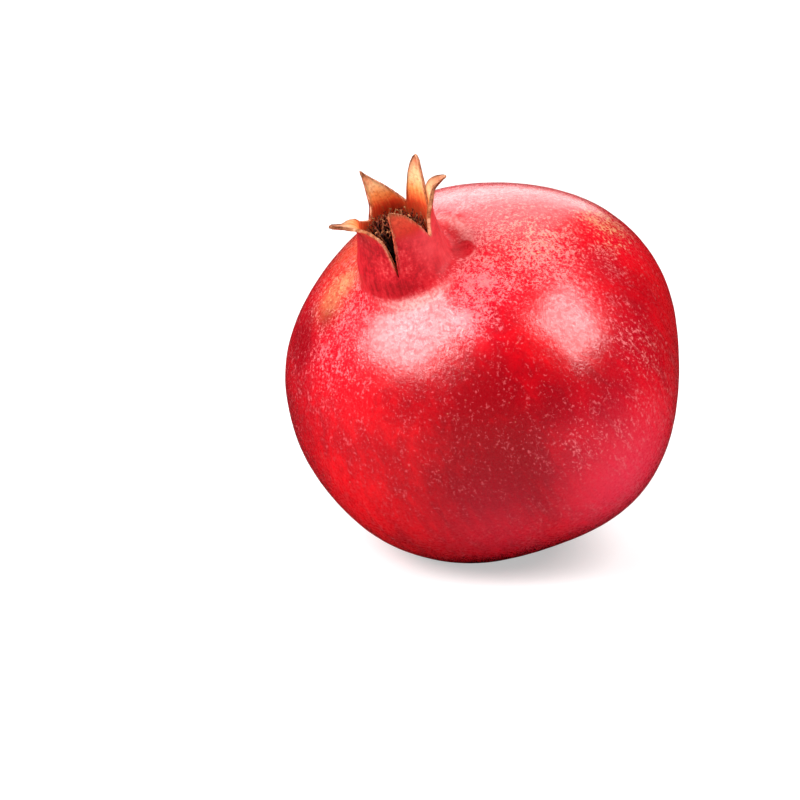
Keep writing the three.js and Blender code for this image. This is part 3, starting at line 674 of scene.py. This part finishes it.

# Dry plant fibre: dull, dark red-brown to rust, with straw-coloured anthers, and near black with painted
# shade deep in the tube.
stamen_material, tree, shader = start_material("dried stamens")
place = add(tree, "ShaderNodeTexCoord").outputs["Object"]
in_mm = add(tree, "ShaderNodeVectorMath", {0: place, 1: TO_MM}, operation="MULTIPLY")
patchy = add(tree, "ShaderNodeTexNoise", {"Vector": in_mm, "Scale": 0.9, "Detail": 3, "Roughness": 0.6})
own = add(tree, "ShaderNodeAttribute", attribute_name="own").outputs["Fac"]
patchy = add(tree, "ShaderNodeMath", {0: own, 1: 0.4, 2: patchy}, operation="MULTIPLY_ADD")
thread = add(tree, "ShaderNodeValToRGB", {0: patchy}, stops=[
    (0.5, "#180505"), (0.7, "#701c10"), (0.86, "#b04a28"), (0.98, "#cc8a54")])
head = add(tree, "ShaderNodeValToRGB", {0: patchy}, stops=[
    (0.45, "#2c0e0a"), (0.7, "#8a3a20"), (0.93, "#d09462")])
is_head = add(tree, "ShaderNodeAttribute", attribute_name="upness").outputs["Fac"]
mixed = add(tree, "ShaderNodeMix", {0: is_head, 6: thread, 7: head}, data_type="RGBA")
# painted shade: the threads go near black deep in the tube
deep = add(tree, "ShaderNodeAttribute", attribute_name="deep").outputs["Fac"]
mixed = add(tree, "ShaderNodeMix", {0: deep, 6: mixed, 7: colour("#0c0303")}, data_type="RGBA")
feed(tree, shader, {"Base Color": mixed, "Roughness": 0.75, "Specular IOR Level": 0.3})

# the roots, spread evenly over the floor
tuft_inputs = {**TUFT, "Fibre": stamen_material}
tuft, tuft_sockets, given = start_tree("stamen tuft", tuft_inputs)
index = add(tuft, "GeometryNodeInputIndex")
share = add(tuft, "ShaderNodeMath", {0: index, 1: given["Threads"]}, operation="DIVIDE")
share = add(tuft, "ShaderNodeMath", {0: share, 1: 0.5}, operation="POWER")
away = add(tuft, "ShaderNodeMath", {0: share, 1: given["Spread"]}, operation="MULTIPLY")
turn = add(tuft, "ShaderNodeMath", {0: index, 1: GOLDEN_TURN}, operation="MULTIPLY")
cosine = add(tuft, "ShaderNodeMath", {0: turn}, operation="COSINE")
sine = add(tuft, "ShaderNodeMath", {0: turn}, operation="SINE")
px = add(tuft, "ShaderNodeMath", {0: cosine, 1: away}, operation="MULTIPLY")
py = add(tuft, "ShaderNodeMath", {0: sine, 1: away}, operation="MULTIPLY")
root = add(tuft, "ShaderNodeCombineXYZ", {0: px, 1: py})
roots = add(tuft, "GeometryNodePoints", {"Count": given["Threads"], "Position": root})

# one thread: a bent tapering stalk of full length, so that its section is round, and an anther at its end
bend = add(tuft, "GeometryNodeCurvePrimitiveBezierSegment", {
    "Resolution": 6, "Start": (0, 0, 0), "Start Handle": (0.05, 0.02, 0.45),
    "End Handle": (-0.16, -0.04, 0.75), "End": THREAD_END}, mode="POSITION")
along = add(tuft, "GeometryNodeSplineParameter")
thin = add(tuft, "ShaderNodeMapRange", {0: along, 3: 1.25, 4: 0.8})
thin = add(tuft, "ShaderNodeMath", {0: thin, 1: given["Thread radius"]}, operation="MULTIPLY")
lengths = add(tuft, "ShaderNodeCombineXYZ", {0: given["Length"], 1: given["Length"], 2: given["Length"]})
grown = add(tuft, "GeometryNodeTransform", {"Geometry": bend, "Scale": lengths})
section = add(tuft, "GeometryNodeCurvePrimitiveCircle", {"Resolution": 4, "Radius": 1.0})
stalk = add(tuft, "GeometryNodeCurveToMesh", {
    "Curve": grown, "Profile Curve": section, "Scale": thin, "Fill Caps": True})
anther = add(tuft, "GeometryNodeMeshIcoSphere", {"Subdivisions": 1, "Radius": given["Anther radius"]})
tip = add(tuft, "ShaderNodeVectorMath", {0: THREAD_END, "Scale": given["Length"]}, operation="SCALE")
anther = add(tuft, "GeometryNodeTransform", {
    "Geometry": anther, "Translation": tip, "Rotation": (0.9, 0.3, 0), "Scale": (0.8, 0.8, 1.7)})
one_stamen = add(tuft, "GeometryNodeJoinGeometry", {0: anther})
feed(tuft, one_stamen, {0: stalk})

# each one leans outwards, is turned at random about itself and has its own length and shade
lean = add(tuft, "FunctionNodeRandomValue", {2: -0.25, 3: 0.35, "Seed": given["Seed"]}, data_type="FLOAT")
splay = add(tuft, "ShaderNodeMath", {0: share, 1: given["Splay"]}, operation="MULTIPLY")
splay = add(tuft, "ShaderNodeMath", {0: splay, 1: lean}, operation="ADD")
outward = add(tuft, "ShaderNodeCombineXYZ", {1: splay, 2: turn})
outward = add(tuft, "FunctionNodeEulerToRotation", {0: outward})
own_draws = []
for later, least, most in ((11, 0, 6.28), (23, 0.7, 1), (37, 0, 1)):
    seed = add(tuft, "ShaderNodeMath", {0: given["Seed"], 1: later}, operation="ADD")
    draw = add(tuft, "FunctionNodeRandomValue", {2: least, 3: most, "Seed": seed}, data_type="FLOAT")
    own_draws.append(draw)
twirl, length, own = own_draws
twirl = add(tuft, "ShaderNodeCombineXYZ", {2: twirl})
twirl = add(tuft, "FunctionNodeEulerToRotation", {0: twirl})
rotation = add(tuft, "FunctionNodeRotateRotation", {0: outward, 1: twirl}, rotation_space="LOCAL")
position = add(tuft, "GeometryNodeInputPosition")
hollow = add(tuft, "ShaderNodeVectorMath", {0: position, 1: HOLLOW}, operation="DISTANCE")
broken = add(tuft, "ShaderNodeMapRange", {0: hollow, 1: HOLLOW_EDGE[0], 2: HOLLOW_EDGE[1], 3: 0.2, 4: 1.0})
length = add(tuft, "ShaderNodeMath", {0: length, 1: broken}, operation="MULTIPLY")
placed = add(tuft, "GeometryNodeInstanceOnPoints", {
    "Points": roots, "Instance": one_stamen, "Rotation": rotation, "Scale": length})
placed = add(tuft, "GeometryNodeStoreNamedAttribute", {
    "Geometry": placed, "Name": "own", "Value": own}, data_type="FLOAT", domain="INSTANCE")
whole = add(tuft, "GeometryNodeRealizeInstances", {0: placed})
whole = add(tuft, "GeometryNodeSetMaterial", {"Geometry": whole, "Material": given["Fibre"]})
add(tuft, "NodeGroupOutput", {0: whole})

stamens = through_nodes(
    new_object("stamen_tuft", bpy.data.meshes.new("stamen_tuft")), tuft, tuft_sockets, tuft_inputs)
threads = np.empty(len(stamens.data.vertices) * 3)
stamens.data.vertices.foreach_get("co", threads)
threads = threads.reshape(-1, 3) / MM
# what leans past the wall of the tube is bent back inside it
out = np.hypot(threads[:, 0], threads[:, 1])
bent = ROOM - BENT_OVER * np.exp(-(out - ROOM + BENT_OVER) / BENT_OVER)
held = np.where(out > ROOM - BENT_OVER, bent, out) / np.maximum(out, 1e-6)
give(stamens.data, "upness", smooth(threads[:, 2], *ANTHERS))
# painted shade deep in the tube, from 1.5 mm under the rim to full at 5 mm
give(stamens.data, "deep", 0.95 * smooth(TUBE - PAD_HEIGHT - threads[:, 2], *DARKENING))
threads = lie_down(from_tube(threads[:, 0] * held, threads[:, 1] * held, threads[:, 2] + PAD_HEIGHT))
stamens.data.vertices.foreach_set("co", threads.ravel())
stamens.data.update()
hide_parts("stamens")
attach(stamens, "root")


# ---------------------------------------------------------------------------------------------------
# The stub of the stalk: a short woody peg in its dimple, with a ridged bark that is drawn in a little
# below its rounded end. It was clipped off at a slant when the fruit was picked.
# ---------------------------------------------------------------------------------------------------

STUB_RADIUS, STUB_LENGTH, STUB_SLANT, STUB_GAP, STUB_SIDES = 2.5, 5.2, 0.9, 0.35, 72
WITHIN_RADIUS, WITHIN_SLANT = 0.99, 0.97  # so that the bark stays inside the plain peg
stub_top = -(STALK_HALF - DIMPLE_DEPTH) - STUB_GAP
stub_end = stub_top - STUB_LENGTH
# its outline, as (share of the radius, height in mm)
PROFILE = [
    (0.5, 0.02), (0.66, 0.0), (0.86, -0.08), (0.95, -0.25), (0.99, -0.6), (1.0, -1.2), (0.95, -1.9),
    (0.9, -2.6), (0.92, -3.6), (0.95, -4.6), (0.93, -4.95), (0.9, -5.08), (0.84, -5.17), (0.6, -5.19),
    (0.3, -5.15),
]
turns = -np.linspace(0, 2 * np.pi, STUB_SIDES, endpoint=False)
stub_rows = []
for share, drop in PROFILE:
    bark = 1 - (0.02 + 0.03 * (0.5 + 0.5 * np.sin(11 * turns + 0.6 * drop))) * (share > 0.7)
    r = STUB_RADIUS * share * bark * (1 + 0.05 * np.cos(3 * turns + 0.4)) * WITHIN_RADIUS
    slant = STUB_SLANT * share * np.cos(turns) / 2 * smooth(-drop, 3.0, 5.0) * WITHIN_SLANT
    stub_rows.append(stack(r * np.cos(turns), r * np.sin(turns), stub_top + drop + slant))
stub_points = np.concatenate([[[0, 0, stub_top + 0.02]], *stub_rows, [[0, 0, stub_end + 0.08]]])
stub_mesh = mesh_of_rows("stalk_stub", lie_down(stub_points), STUB_SIDES)
widths, drops = (np.repeat(values, STUB_SIDES) for values in zip(*PROFILE))
widths, drops = np.concatenate([[0], widths, [0]]), np.concatenate([[0], drops, [-STUB_LENGTH]])
peg_x = np.concatenate([[1], np.tile(np.cos(turns), len(PROFILE)), [1]])
peg_y = np.concatenate([[0], np.tile(np.sin(turns), len(PROFILE)), [0]])
give(stub_mesh, "cut", (drops < -5.1) * (widths < 0.86))
give(stub_mesh, "peg", stack(peg_x, peg_y, drops / 10))

# Weathered twig: grey-brown bark with lengthwise cracks, and the pale fibrous wood of the cut.
stub_material, tree, shader = start_material("woody stalk")
peg = add(tree, "ShaderNodeAttribute", attribute_name="peg").outputs["Vector"]
peg = add(tree, "ShaderNodeVectorMath", {0: peg, 1: (5, 5, 6)}, operation="MULTIPLY")
cracks = add(tree, "ShaderNodeTexNoise", {"Vector": peg, "Scale": 1, "Detail": 5, "Roughness": 0.7})
bark = add(tree, "ShaderNodeValToRGB", {0: cracks}, stops=[
    (0.35, "#3d2a1c"), (0.5, "#7a5a3c"), (0.65, "#a58560")])
wood = add(tree, "ShaderNodeValToRGB", {0: cracks}, stops=[(0.35, "#b08e60"), (0.6, "#dcc297")])
is_cut = add(tree, "ShaderNodeAttribute", attribute_name="cut").outputs["Fac"]
mixed = add(tree, "ShaderNodeMix", {0: is_cut, 6: bark, 7: wood}, data_type="RGBA")
bump = add(tree, "ShaderNodeBump", {"Height": cracks, "Strength": 0.6, "Distance": 0.3 * MM})
feed(tree, shader, {"Base Color": mixed, "Normal": bump, "Roughness": 0.8})

stub = new_object("stalk_stub", stub_mesh)
stub_mesh.materials.append(stub_material)
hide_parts("stem_stub")
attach(stub, "root")


# ---------------------------------------------------------------------------------------------------
# The studio: a plain pale floor, and a camera that looks a little down on the fruit. Two soft boxes in
# front of it give the two highlights, and a broad one behind it pales the skin behind the crown.
# ---------------------------------------------------------------------------------------------------

AZIMUTH, ELEVATION, DISTANCE = np.radians(43.2), np.radians(18.0), 0.650
PIXELS_PER_MM, FRAME_PIXELS, SENSOR = 4.11, 800, 36.0
FRUIT_RIGHT, FRUIT_UP = 86.5, 28.0  # how far the fruit's middle is from the frame's, in pixels
SWELL_SHIFT = (0.593, 0.01, -0.22)  # from the centre of the rind to the middle of its outline, in mm

right = Vector((np.cos(AZIMUTH), np.sin(AZIMUTH), 0))
level = np.cos(ELEVATION)
forward = Vector((-np.sin(AZIMUTH) * level, np.cos(AZIMUTH) * level, -np.sin(ELEVATION)))
up = right.cross(forward)
middle = (Vector(CENTRE) + Vector(SWELL_SHIFT)) * MM
aim = middle - (right * FRUIT_RIGHT + up * FRUIT_UP) * MM / PIXELS_PER_MM

# White paper: matt, and overexposed a little to the eye, as a lit table is, so only soft shadows show.
FLOOR_HALF, FLOOR_DROP = 4, 0.0001
paper, tree, shader = start_material("white paper")
seen = add(tree, "ShaderNodeLightPath").outputs
shade = add(tree, "ShaderNodeMix", {
    0: seen["Is Camera Ray"], 6: colour("#e4e4e4"), 7: colour("#c8c8c8")}, data_type="RGBA")
shade = add(tree, "ShaderNodeMix", {
    0: seen["Is Glossy Ray"], 6: shade, 7: colour("#181818")}, data_type="RGBA")
glow = add(tree, "ShaderNodeMath", {0: seen["Is Camera Ray"], 1: 0.48}, operation="MULTIPLY")
feed(tree, shader, {
    "Base Color": shade, "Roughness": 0.9, "Specular IOR Level": 0.0,
    "Emission Color": colour("#ffffff"), "Emission Strength": glow})
corners = [(x * FLOOR_HALF, y * FLOOR_HALF, 0) for x, y in ((-1, -1), (1, -1), (1, 1), (-1, 1))]
floor_mesh = bpy.data.meshes.new("floor")
floor_mesh.from_pydata(corners, [], [(0, 1, 2, 3)])
floor_mesh.materials.append(paper)
floor = new_object("floor", floor_mesh)
floor.location.z = -FLOOR_DROP


def soft_box(name, way, distance, width, height, watts, roll=0):
    """An area light, its direction given to the right, up and towards the camera from the fruit."""
    light = bpy.data.lights.new(name, "AREA")
    light.shape, light.size, light.size_y, light.energy = "RECTANGLE", width, height, watts
    lamp = new_object(name, light)
    aside, above, near = way
    towards = (right * aside + up * above - forward * near).normalized()
    lamp.location = middle + towards * distance
    facing = towards.to_track_quat("Z", "Y") @ Quaternion((0, 0, 1), np.radians(roll))
    lamp.rotation_euler = facing.to_euler()


soft_box("left_box", (-0.741, 0.48, 0.48), 0.75, 0.56, 0.46, 9.0)
soft_box("right_box", (0.57, 0.61, 0.55), 0.75, 0.44, 0.46, 5.7, 10)
soft_box("back_box", (0.06, 0.88, -0.46), 1.1, 0.74, 1.4, 8.4)

world = bpy.data.worlds.new("studio")
bpy.context.scene.world = world
world.use_nodes = True
feed(world.node_tree, world.node_tree.nodes["Background"], {"Color": colour("#ffffff"), "Strength": 0.02})

lens = bpy.data.cameras.new("camera")
lens.lens = PIXELS_PER_MM * DISTANCE / MM / FRAME_PIXELS * SENSOR
lens.sensor_width = SENSOR
lens.clip_start, lens.clip_end = 0.01, 50
camera = new_object("camera", lens)
camera.location = aim - forward * DISTANCE
camera.rotation_euler = (-forward).to_track_quat("Z", "Y").to_euler()
bpy.context.scene.camera = camera
bpy.context.scene.view_settings.view_transform = "Standard"
